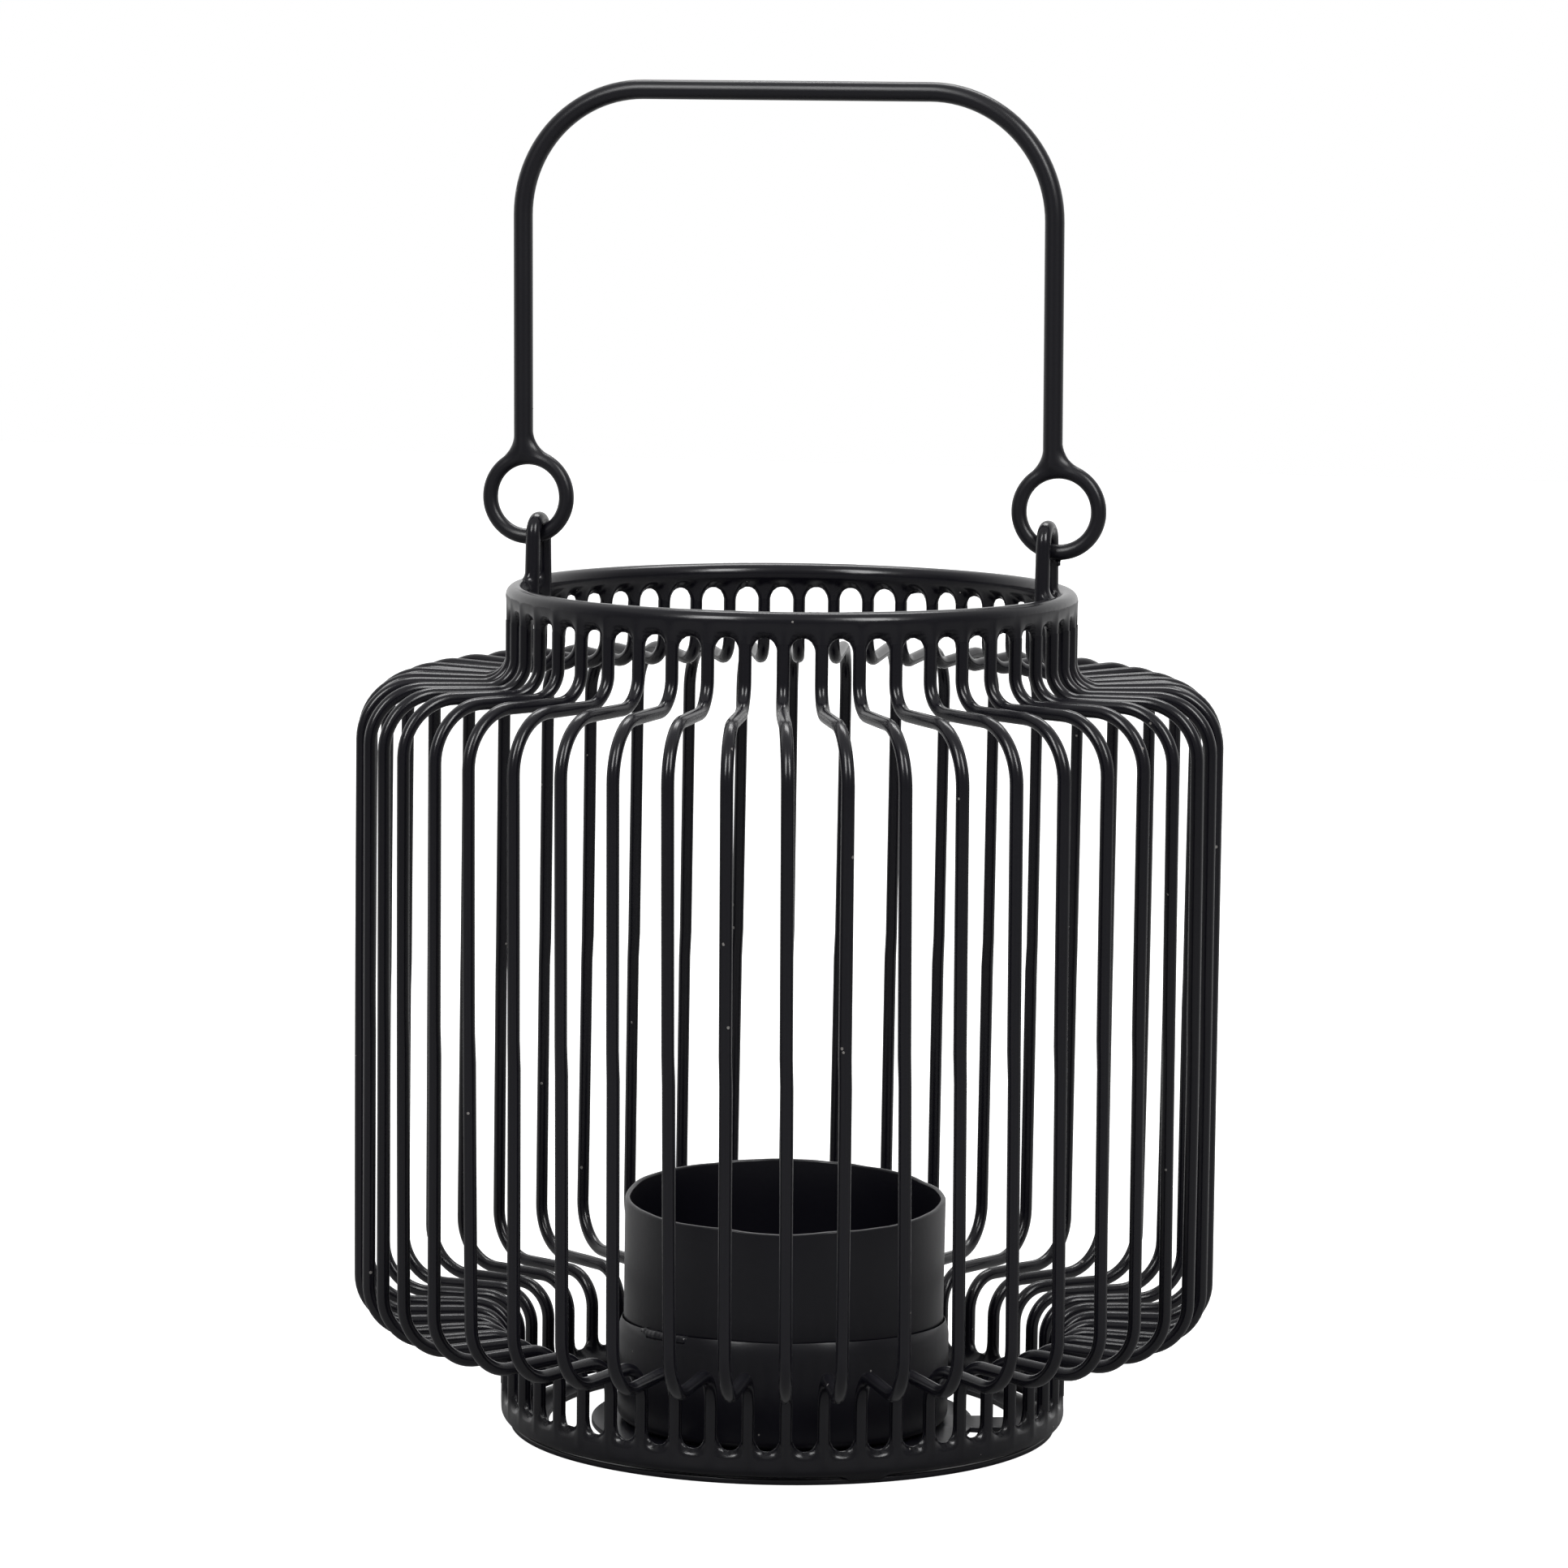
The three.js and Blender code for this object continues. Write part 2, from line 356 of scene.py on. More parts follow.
def bend(bm, edges, centre, axis, angle, steps):
    verts = list({vert for edge in edges for vert in edge.verts})
    spun = bmesh.ops.spin(
        bm, geom=verts + edges, cent=centre, axis=axis, angle=angle, steps=steps, use_duplicate=False
    )
    return loop_parts(spun["geom_last"])[0]


# %% Wire bender
def bent_wire(bm, corners, radii, rod, sides=20, bend_steps=14, feed_length=5 * MM):
    corners = [Vector(corner) for corner in corners]
    first = (corners[1] - corners[0]).normalized()
    facing = Vector((0, 0, 1)).rotation_difference(first).to_matrix().to_4x4()
    circle = bmesh.ops.create_circle(
        bm, segments=sides, radius=rod, matrix=Matrix.Translation(corners[0]) @ facing
    )
    first_edges = circle_edges(circle)
    bmesh.ops.edgeloop_fill(bm, edges=first_edges)
    edges = first_edges
    at = corners[0]
    for before, corner, after, radius in zip(corners, corners[1:], corners[2:], radii):
        inward = (corner - before).normalized()
        onward = (after - corner).normalized()
        angle = inward.angle(onward)
        start = corner - inward * radius * math.tan(angle / 2)
        axis = inward.cross(onward).normalized()
        edges = feed(bm, edges, start - at, feed_length)
        edges = bend(bm, edges, start + axis.cross(inward) * radius, axis, angle, bend_steps)
        at = corner + onward * radius * math.tan(angle / 2)
    edges = feed(bm, edges, corners[-1] - at, feed_length)
    bmesh.ops.edgeloop_fill(bm, edges=edges)
    for edge in first_edges + edges:
        edge.smooth = False


# %% [markdown]
# ## The cage wires
# The cage is forty-eight wires of one shape, bent one at a time over a block, so no two are
# quite alike. We bend one wire and copy it round the axis. The two rings are turned a little
# against the sides of the cage, each its own way, so every wire leans at its neck and at its
# foot. Between the two welds nothing holds a wire, so each copy also wanders by its own small
# twist and bulge. The shoulders stand a little lower at the front than at the back.

# %% One bent wire
SHOULDER_INNER = 130.0 * MM
SHOULDER_OUTER = 130.8 * MM
HIP_OUTER = 19.1 * MM
HIP_INNER = 19.4 * MM
NECK_BEND = 5.0 * MM
SHOULDER_BEND = 9.3 * MM
HIP_BEND = 8.4 * MM
FOOT_BEND = 6.2 * MM
WEB_DEPTH = 4.8 * MM
FOOT_DEPTH = 3.6 * MM

pattern = bmesh.new()
bent_wire(
    pattern,
    [
        (NECK_RADIUS, 0, TOP_HEIGHT - WEB_DEPTH),
        (NECK_RADIUS, 0, SHOULDER_INNER),
        (SIDE_RADIUS, 0, SHOULDER_OUTER),
        (SIDE_RADIUS, 0, HIP_OUTER),
        (NECK_RADIUS, 0, HIP_INNER),
        (NECK_RADIUS, 0, BASE_HEIGHT + FOOT_DEPTH),
    ],
    [NECK_BEND, SHOULDER_BEND, HIP_BEND, FOOT_BEND],
    RIB_ROD,
)
print("one wire:", len(pattern.faces), "faces")

# %% Forty-eight copies
TOP_TURN = math.radians(-1.6)
BASE_TURN = math.radians(0.7)
SIDE_TURN_HIGH = math.radians(-0.35)
SIDE_TURN_LOW = math.radians(0.45)
TWIST = math.radians(0.275)
BULGE = 0.35 * MM
SHOULDER_TIP = 1.3 * MM
TIP_START = 0.4
TIP_RUN = 0.4


def clamp(value):
    return min(1.0, max(0.0, value))


wander = random.Random(7)
for index, node in enumerate(RIB_NODES):
    bm = pattern.copy()
    upper = SIDE_TURN_HIGH + wander.gauss(0, TWIST)
    lower = SIDE_TURN_LOW + wander.gauss(0, TWIST)
    bulge = wander.uniform(-BULGE, BULGE)
    around = Matrix.Rotation(math.tau * index / RIB_COUNT, 3, "Z")
    tip = SHOULDER_TIP * (around @ Vector((1, 0, 0))).dot(TO_CAMERA)
    for vert in bm.verts:
        out = clamp((vert.co.xy.length - NECK_RADIUS - RIB_ROD) / (SIDE_RADIUS - NECK_RADIUS))
        rise = (vert.co.z - BASE_HEIGHT) / (TOP_HEIGHT - BASE_HEIGHT)
        ring_turn = TOP_TURN if rise > 0.5 else BASE_TURN
        twist = out * (upper * rise + lower * (1 - rise)) + (1 - out) * ring_turn
        vert.co = Matrix.Rotation(twist, 3, "Z") @ vert.co
        vert.co.x += out * bulge * math.sin(math.pi * rise)
        vert.co.z -= out * tip * clamp((rise - TIP_START) / TIP_RUN)
    bmesh.ops.rotate(bm, verts=bm.verts, cent=(0, 0, 0), matrix=around)
    finish_piece(f"cage_wire_{index + 1:02d}", bm, WIRE_COAT, BODY, [node])
pattern.free()
print("cage wires:", RIB_COUNT)

# %% [markdown]
# ## Welds that melt together
# Where two wires are welded and painted, the corner between them fills up to a round hollow. A
# bevel can't follow such a joint. So we model the pieces too thick by the radius of that hollow,
# let the Remesh modifier fuse them into one skin, and then shrink the skin back in small steps,
# smoothing as we go. The corners stay filled. A long smoothing thins a rod a little, and `hold`
# leaves that much more on it.

# %% Melting
def melted(bm, swell, voxel, shrink_steps=6, smooth_rounds=3, hold=0.0):
    mesh = bpy.data.meshes.new("melting")
    bm.to_mesh(mesh)
    bm.free()
    body = bpy.data.objects.new("melting", mesh)
    bpy.context.scene.collection.objects.link(body)
    remesh = body.modifiers.new("fuse", "REMESH")
    remesh.mode = "VOXEL"
    remesh.voxel_size = voxel
    for step in range(shrink_steps):
        shrink = body.modifiers.new(f"shrink_{step}", "DISPLACE")
        shrink.strength = (hold - swell) / shrink_steps
        shrink.mid_level = 0.0
        smooth = body.modifiers.new(f"smooth_{step}", "SMOOTH")
        smooth.factor = 0.5
        smooth.iterations = smooth_rounds
    graph = bpy.context.evaluated_depsgraph_get()
    result = bpy.data.meshes.new_from_object(body.evaluated_get(graph))
    bpy.data.objects.remove(body)
    bpy.data.meshes.remove(mesh)
    return result


# %% [markdown]
# What gets melted is put together from a few plain shapes: a round rod spun into a ring, a ball,
# and a stub, which is a cone with a ball on its far end. They may overlap freely, because the
# Remesh modifier keeps only the outside.

# %% Shapes to melt
def add_ring(bm, radius, height, rod, steps=192, sides=24):
    facing = Matrix.Translation((radius, 0, height)) @ Matrix.Rotation(math.radians(90), 4, "X")
    circle = bmesh.ops.create_circle(bm, segments=sides, radius=rod, matrix=facing)
    bmesh.ops.spin(
        bm, geom=circle["verts"] + circle_edges(circle), cent=(0, 0, 0), axis=(0, 0, 1),
        angle=math.tau, steps=steps, use_merge=True, use_duplicate=False,
    )


def add_ball(bm, place, radius, segments, rings):
    """A ball at the place that a matrix gives."""
    bmesh.ops.create_uvsphere(bm, u_segments=segments, v_segments=rings, radius=radius, matrix=place)


def add_stub(bm, place, direction, length, near, far, sides=20):
    facing = Vector((0, 0, 1)).rotation_difference(Vector(direction)).to_matrix().to_4x4()
    middle = Vector(place) + Vector(direction) * length / 2
    bmesh.ops.create_cone(
        bm, cap_ends=True, segments=sides, radius1=near, radius2=far, depth=length,
        matrix=Matrix.Translation(middle) @ facing,
    )
    tip = Matrix.Translation(Vector(place) + Vector(direction) * length)
    add_ball(bm, tip, far, sides, sides // 2)


# %% [markdown]
# ## The two rings
# The neck of every wire is welded under the top ring, and every foot on top of the base ring.
# Paint bridges the corners, so the openings between the wires end in round arches. Each ring is
# melted together with a short stub of every wire and with a second, thinner ring beside it,
# which becomes the curtain of paint between the wires. The stubs start a little further in than
# the wires and slant out to meet them, so the wires' flat ends stay hidden, and they get thinner
# towards their ends. How much paint gathers differs from corner to corner. The real top ring
# isn't quite level, so it is sunk and tilted by less than a degree before it is melted.

# %% Rings
RING_SWELL = 1.5 * MM
RING_VOXEL = 0.39 * MM
RING_HOLD = 0.06 * MM
STUB_START = 0.5 * MM
STUB_REACH = 6.3 * MM
STUB_SLANT = 0.22 * MM
STUB_TAPER = 0.12 * MM
POOLING = 0.16 * MM
POOL_LEAST = 0.4
POOL_MOST = 1.6
CURTAIN_ROD = 1.0 * MM
CURTAIN_INSET = 0.1 * MM
RING_SINK = 0.6 * MM
RING_TILT = Matrix.Rotation(math.radians(0.72), 4, turn.to_3x3() @ Vector((1, 0, 0)))
RING_SETTLE = (
    Matrix.Translation((0, 0, TOP_HEIGHT - RING_SINK)) @ RING_TILT @ Matrix.Translation((0, 0, -TOP_HEIGHT))
)


def webbed_ring(bm, radius, height, rod, direction, ring_turn, seed, curtain):
    """Fill a bmesh with a ring whose wires leave it upwards (direction 1) or downwards (-1)."""
    add_ring(bm, radius, height, rod + RING_SWELL)
    add_ring(bm, NECK_RADIUS - CURTAIN_INSET, height + direction * curtain, CURTAIN_ROD + RING_SWELL)
    pools = random.Random(seed)
    far = RIB_ROD + RING_SWELL - STUB_TAPER
    for index in range(RIB_COUNT):
        angle = math.tau * index / RIB_COUNT + ring_turn
        out = Vector((math.cos(angle), math.sin(angle), 0))
        place = out * (NECK_RADIUS - STUB_SLANT) + Vector((0, 0, height + direction * STUB_START))
        along = (out * STUB_SLANT + Vector((0, 0, direction * STUB_REACH))).normalized()
        near = RIB_ROD + RING_SWELL + pools.uniform(POOL_LEAST, POOL_MOST) * POOLING
        add_stub(bm, place, along, STUB_REACH, near, far)


def finish_ring(name, node, bm):
    mesh = melted(bm, RING_SWELL, RING_VOXEL, hold=RING_HOLD)
    print(name, "faces:", len(mesh.polygons))
    finish_piece(name, mesh, POOLED_COAT, BODY, [node])


# %% Top ring
TOP_CURTAIN = 1.2 * MM

bm = bmesh.new()
webbed_ring(bm, TOP_RADIUS, TOP_HEIGHT, TOP_ROD, -1, TOP_TURN, 3, TOP_CURTAIN)
bmesh.ops.transform(bm, verts=bm.verts, matrix=RING_SETTLE)
finish_ring("top_ring_welded", "top_ring", bm)

# %% [markdown]
# Under the base ring the plate is welded on in three places only. There a short bead of weld
# closes the dark groove between the ring and the edge of the plate.

# %% Base ring
BASE_CURTAIN = 1.4 * MM
BEAD_COUNT = 3
BEAD_PLACE = 16.5
BEAD_LENGTH = 6.0 * MM
BEAD_ROD = 1.0 * MM
BEAD_INSET = 0.4 * MM
BEAD_RAISE = 0.1 * MM


def angle_from_front(degrees):
    """The angle about Z of a place that many degrees to the right of the lantern's front."""
    return VIEW_TURN + math.radians(degrees - 90)


bm = bmesh.new()
webbed_ring(bm, BASE_RADIUS, BASE_HEIGHT, BASE_ROD, 1, BASE_TURN, 4, BASE_CURTAIN)
for index in range(BEAD_COUNT):
    angle = angle_from_front(BEAD_PLACE) + math.tau * index / BEAD_COUNT
    out = Vector((math.cos(angle), math.sin(angle), 0))
    along = Vector((-math.sin(angle), math.cos(angle), 0))
    middle = out * (BASE_RADIUS - BEAD_INSET) + Vector((0, 0, BASE_HEIGHT - BASE_ROD + BEAD_RAISE))
    rod = BEAD_ROD + RING_SWELL
    add_stub(bm, middle - along * BEAD_LENGTH / 2, along, BEAD_LENGTH, rod, rod)
finish_ring("base_ring_welded", "base_ring", bm)

# %% [markdown]
# ## The base plate
# The plate is stamped from sheet a millimetre thick: a rim under the ring, a disc under the cup,
# and three spokes between them. We spin a radial line into a flat disc of small faces, delete
# those that fall in the windows, give the sheet its thickness, and bevel its edges.

# %% Base plate
PLATE_LOW, PLATE_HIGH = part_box("base_plate")
PLATE_RADIUS = PLATE_HIGH.x
RIM_INNER = 41.0 * MM
DISC_RADIUS = 33.5 * MM
SPOKES = 3
SPOKE_TURN = math.radians(12)
SPOKE_HALF = 4.5 * MM
PLATE_STEPS = 180
PLATE_BEVEL = 0.22 * MM
SHARP_ANGLE = math.radians(60)
MERGE = 0.001 * MM


def in_window(place):
    """Whether a place on the plate falls between the disc, the rim and two spokes."""
    if not DISC_RADIUS < place.xy.length < RIM_INNER:
        return False
    angle = math.atan2(place.y, place.x) - SPOKE_TURN
    aside = (angle + math.pi / SPOKES) % (math.tau / SPOKES) - math.pi / SPOKES
    return abs(aside) * place.xy.length > SPOKE_HALF


def base_plate():
    bm = bmesh.new()
    radii = [0.0, 0.5 * DISC_RADIUS, DISC_RADIUS, 0.5 * (DISC_RADIUS + RIM_INNER), RIM_INNER, PLATE_RADIUS]
    verts = [bm.verts.new((radius, 0, PLATE_HIGH.z)) for radius in radii]
    edges = [bm.edges.new(pair) for pair in zip(verts, verts[1:])]
    bmesh.ops.spin(
        bm, geom=verts + edges, cent=(0, 0, 0), axis=(0, 0, 1), angle=math.tau, steps=PLATE_STEPS,
        use_merge=True, use_duplicate=False,
    )
    bmesh.ops.remove_doubles(bm, verts=bm.verts, dist=MERGE)
    windows = [face for face in bm.faces if in_window(face.calc_center_median())]
    bmesh.ops.delete(bm, geom=windows, context="FACES")
    bmesh.ops.recalc_face_normals(bm, faces=bm.faces)
    bmesh.ops.solidify(bm, geom=bm.faces, thickness=PLATE_HIGH.z - PLATE_LOW.z)
    bmesh.ops.recalc_face_normals(bm, faces=bm.faces)
    sharp = [edge for edge in bm.edges if edge.calc_face_angle(0) > SHARP_ANGLE]
    bmesh.ops.bevel(
        bm, geom=sharp, offset=PLATE_BEVEL, segments=3, profile=0.5, affect="EDGES", material=-1
    )
    return bm


plate = finish_piece("plate_sheet", base_plate(), SHEET_COAT, BODY, ["base_plate"])
print("plate:", [round(value / MM, 1) for value in plate.dimensions])

# %% [markdown]
# ## The candle cup
# The cup is two pieces. A shallow pan is pressed from sheet, and a sleeve is rolled from a strip
# and stands in it. Both are turned shapes: an outline of a few corners, rounded with a vertex
# bevel, then spun about Z. Rolled strip is never quite round and never cut quite square, so the
# rim waves and leans afterwards.

# %% Turned shapes
def turned(corners, roundings, steps=128):
    bm = bmesh.new()
    verts = [bm.verts.new((radius, 0, height)) for radius, height in corners]
    bm.faces.new(verts)
    for vert, rounding in zip(verts, roundings):
        if rounding:
            bmesh.ops.bevel(
                bm, geom=[vert], offset=rounding, segments=5, profile=0.5, affect="VERTICES", material=-1
            )
    bmesh.ops.delete(bm, geom=bm.faces[:], context="FACES_ONLY")
    bmesh.ops.spin(
        bm, geom=bm.verts[:] + bm.edges[:], cent=(0, 0, 0), axis=(0, 0, 1), angle=math.tau,
        steps=steps, use_merge=True, use_duplicate=False,
    )
    bmesh.ops.remove_doubles(bm, verts=bm.verts, dist=MERGE)
    return bm


# %% Waving rims
WAVE_SCALE = 2.2
WAVE_RISE = 0.6
RIPPLE_SCALE = 5.0
RIPPLE_SHIFT = Vector((3, 1, 0))
RIPPLE_SHARE = 0.3
FLAT_RADIUS = 20 * MM


def lean_rim(bm, low, high, lean, waves):
    """Vertices near the rim rise or sink towards the front, and the round waves a little."""
    for vert in bm.verts:
        share = clamp((vert.co.z - low) / (high - low))
        out = Vector((vert.co.x, vert.co.y, 0))
        if not share or out.length < FLAT_RADIUS:
            continue
        out.normalize()
        wave = noise.noise(out * WAVE_SCALE) * waves
        ripple = noise.noise(out * RIPPLE_SCALE + RIPPLE_SHIFT) * RIPPLE_SHARE * waves
        vert.co.z += share * (lean * out.dot(TO_CAMERA) + WAVE_RISE * wave + ripple)
        vert.co += out * share * wave


# %% Cup pan
PAN_LOW, PAN_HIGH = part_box("cup_pan")
SLEEVE_LOW, SLEEVE_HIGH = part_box("cup_sleeve")
PAN_RADIUS = PAN_HIGH.x
PAN_SHEET = 0.8 * MM
PAN_WAIST = 12 * MM
PAN_FOOT_ROUND = 1.6 * MM
SEAT_RADIUS = 26.0 * MM
SEAT_RAISE = 0.4 * MM
SLEEVE_RADIUS = SLEEVE_HIGH.x + 0.1 * MM
LIP_RADIUS = SLEEVE_RADIUS + 0.22 * MM
LIP_FLAT = 0.1 * MM
LIP_EDGE = 0.5 * MM
LIP_DROP = 1.6 * MM
LIP_ROUND_OUTER = 1.3 * MM
LIP_ROUND_INNER = 0.15 * MM
PAN_LEAN = 1.2 * MM
PAN_WAVES = 0.2 * MM

pan_floor = PAN_LOW.z
pan_top = PAN_HIGH.z - 0.2 * MM
pan = turned(
    [
        (0, pan_floor + SEAT_RAISE),
        (SEAT_RADIUS - PAN_SHEET, pan_floor + SEAT_RAISE),
        (SEAT_RADIUS - SEAT_RAISE, pan_floor),
        (PAN_RADIUS, pan_floor),
        (PAN_RADIUS, PAN_WAIST),
        (PAN_RADIUS, pan_top - LIP_DROP),
        (LIP_RADIUS + LIP_FLAT, pan_top),
        (LIP_RADIUS, pan_top - LIP_EDGE),
        (LIP_RADIUS, pan_floor + PAN_SHEET),
        (SEAT_RADIUS + SEAT_RAISE, pan_floor + PAN_SHEET),
        (SEAT_RADIUS, pan_floor + SEAT_RAISE + PAN_SHEET),
        (0, pan_floor + SEAT_RAISE + PAN_SHEET),
    ],
    [0, 0, 0, PAN_FOOT_ROUND, 0, LIP_ROUND_OUTER, LIP_ROUND_INNER, 0, 0, 0, 0, 0],
)
lean_rim(pan, PAN_WAIST, pan_top, PAN_LEAN, PAN_WAVES)
finish_piece("cup_pan_sheet", pan, SHEET_COAT, BODY, ["cup_pan"])
print("pan radius:", round(PAN_RADIUS / MM, 2))

# %% Cup sleeve
SLEEVE_SHEET = 0.9 * MM
SLEEVE_HELD = 20 * MM
SLEEVE_LEVELS = (24 * MM, 32 * MM)
RIM_ROUND = 0.35 * MM
SLEEVE_LEAN = -1.5 * MM
SLEEVE_WAVES = 0.65 * MM

inner = SLEEVE_RADIUS - SLEEVE_SHEET
sleeve = turned(
    [
        (inner, SLEEVE_LOW.z),
        (SLEEVE_RADIUS, SLEEVE_LOW.z),
        (SLEEVE_RADIUS, SLEEVE_LEVELS[0]),
        (SLEEVE_RADIUS, SLEEVE_LEVELS[1]),
        (SLEEVE_RADIUS, SLEEVE_HIGH.z),
        (inner, SLEEVE_HIGH.z),
        (inner, SLEEVE_LEVELS[1]),
        (inner, SLEEVE_LEVELS[0]),
    ],
    [0, 0, 0, 0, RIM_ROUND, RIM_ROUND, 0, 0],
)
lean_rim(sleeve, SLEEVE_HELD, SLEEVE_HIGH.z, SLEEVE_LEAN, SLEEVE_WAVES)
finish_piece("cup_sleeve_sheet", sleeve, SHEET_COAT, BODY, ["cup_sleeve"])
print("sleeve radius:", round(SLEEVE_RADIUS / MM, 2))

# %% [markdown]
# Two tacks hold the sleeve in the pan. There the paint runs over the seam and hides it. A tack
# is a row of weld balls along a short arc, melted into one low bead, with two smaller drops
# trailing off at one end. The seam isn't level, so the balls follow it up and down.

# %% Seam tacks
TACK_PLACES = (-46, 134)
TACK_SPREAD = 9
TACK_BALLS = 9
TACK_SWELL = 0.5 * MM
TACK_VOXEL = 0.2 * MM
TACK_RODS = (0.95, 1.1)
TACK_INSET = 0.05 * MM
TACK_DROP = 0.3 * MM
TRAIL = ((11, 0.75 * MM), (13.5, 0.5 * MM))
TRAIL_RAISE = 0.1 * MM
SEAM_DROP = 0.55 * MM
SEAM_WAVE = 1.2 * MM


def seam_place(degrees, radius, raise_by):
    """A place near the seam, counted round the lantern from its front to the right."""
    angle = angle_from_front(degrees)
    seam = pan_top - SEAM_DROP + SEAM_WAVE * math.cos(math.radians(degrees))
    return Matrix.Translation((radius * math.cos(angle), radius * math.sin(angle), seam + raise_by))


bm = bmesh.new()
drops = random.Random(11)
for place in TACK_PLACES:
    for ball in range(TACK_BALLS):
        degrees = place + TACK_SPREAD * (2 * ball / (TACK_BALLS - 1) - 1)
        rod = drops.uniform(*TACK_RODS) * MM
        add_ball(bm, seam_place(degrees, SLEEVE_RADIUS - TACK_INSET, -TACK_DROP), rod + TACK_SWELL, 16, 10)
    for aside, rod in TRAIL:
        centre = seam_place(place - aside, SLEEVE_RADIUS + TRAIL_RAISE, TRAIL_RAISE)
        add_ball(bm, centre, rod + TACK_SWELL, 16, 10)
mesh = melted(bm, TACK_SWELL, TACK_VOXEL, shrink_steps=4, smooth_rounds=2)
finish_piece("cup_seam_tacks", mesh, POOLED_COAT, BODY)
print("seam tacks:", len(TACK_PLACES))

# %% [markdown]
# ## The lugs
# Each lug is a staple of wire that stands across the top ring. The staple and a short piece of
# the ring under it are melted together, so that its feet spread out into the ring. A ball ends
# each foot inside the ring. The piece of ring is settled in the same way as the real one, and
# as it is a hair thinner, it hides inside it.

# %% A piece of ring
LUG_SWELL = 1.1 * MM
RING_PIECE = math.radians(11)
HIDDEN = 0.3 * MM


def add_ring_piece(bm, middle, spread, rod):
    """A stretch of the top ring with a ball at each end, spun about the lantern's axis."""
    known = set(bm.verts)
    place = Matrix.Translation((TOP_RADIUS, 0, TOP_HEIGHT))
    facing = Matrix.Rotation(middle - spread, 4, "Z") @ place @ Matrix.Rotation(math.radians(90), 4, "X")
    circle = bmesh.ops.create_circle(bm, segments=24, radius=rod, matrix=facing)
    edges = circle_edges(circle)
    bmesh.ops.edgeloop_fill(bm, edges=edges)
    edges = bend(bm, edges, (0, 0, 0), (0, 0, 1), 2 * spread, 24)
    bmesh.ops.edgeloop_fill(bm, edges=edges)
    for angle in (middle - spread, middle + spread):
        add_ball(bm, Matrix.Rotation(angle, 4, "Z") @ place, rod, 24, 16)
    new_verts = [vert for vert in bm.verts if vert not in known]
    bmesh.ops.transform(bm, verts=new_verts, matrix=RING_SETTLE)


# %% Lugs
LUG_ROD = 1.3 * MM
LUG_BEND = 3.0 * MM
LUG_CROWN = 0.95 * LUG_BEND
LUG_SPLAY = 0.7 * MM
LUG_DEPTH = 1.7 * MM
LUG_VOXEL = 0.2 * MM


def lug(name, node):
    low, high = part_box(node)
    x = (low.x + high.x) / 2
    crown = high.z - LUG_ROD
    foot = TOP_HEIGHT - LUG_DEPTH
    wide = LUG_BEND + LUG_SPLAY
    rod = LUG_ROD + LUG_SWELL
    bm = bmesh.new()
    bent_wire(
        bm,
        [(x, -wide, foot), (x, -LUG_BEND, crown), (x, LUG_BEND, crown), (x, wide, foot)],
        [LUG_CROWN, LUG_CROWN],
        rod,
        feed_length=MM,
    )
    for y in (-wide, wide):
        add_ball(bm, Matrix.Translation((x, y, foot)), rod, 20, 10)
    side = 0 if x > 0 else math.pi
    add_ring_piece(bm, side, RING_PIECE, TOP_ROD + LUG_SWELL - HIDDEN)
    mesh = melted(bm, LUG_SWELL, LUG_VOXEL)
    print(name, "faces:", len(mesh.polygons))
    finish_piece(name, mesh, POOLED_COAT, BODY, [node])


lug("lug_left_staple", "lug_left")
lug("lug_right_staple", "lug_right")

# %% [markdown]
# ## The handle
# The bail is one wire with two wide bends, and it leans half a millimetre to the left. Its ends
# are welded to closed eyes, and the paint makes a smooth fork there. Each eye is melted with a
# ball and a short stub of the leg. The stub sinks into the leg as the wires' stubs do in the
# cage.

# %% Bail
BAIL_LOW, BAIL_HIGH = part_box("handle_bail")
BAIL_ROD = 1.675 * MM
BAIL_CORNER = 21.8 * MM
BAIL_LEFT = BAIL_LOW.x + BAIL_ROD
BAIL_RIGHT = BAIL_HIGH.x - BAIL_ROD
BAIL_FOOT = BAIL_LOW.z + 1.9 * MM
BAR_HEIGHT = BAIL_HIGH.z - BAIL_ROD
BAIL_LEAN = 0.5 * MM

bm = bmesh.new()
bent_wire(
    bm,
    [
        (BAIL_LEFT, 0, BAIL_FOOT),
        (BAIL_LEFT, 0, BAR_HEIGHT),
        (BAIL_RIGHT, 0, BAR_HEIGHT),
        (BAIL_RIGHT, 0, BAIL_FOOT),
    ],
    [BAIL_CORNER, BAIL_CORNER],
    BAIL_ROD,
    sides=28,
    bend_steps=26,
)
for vert in bm.verts:
    rise = (vert.co.z - BAIL_FOOT) / (BAR_HEIGHT - BAIL_FOOT)
    vert.co.x -= BAIL_LEAN * rise
finish_piece("bail_wire", bm, HANDLE_COAT, HANDLE, ["handle_bail"])
print("bail width:", round((BAIL_RIGHT - BAIL_LEFT) / MM, 1))

# %% Eyes
EYE_ROD = 1.25 * MM
FORK_SWELL = 3.0 * MM
FORK_VOXEL = 0.3 * MM
FORK_REACH = 8.0 * MM
FORK_RISE = 1.0 * MM
FORK_TAPER = 0.2 * MM
FORK_HOLD = 0.08 * MM


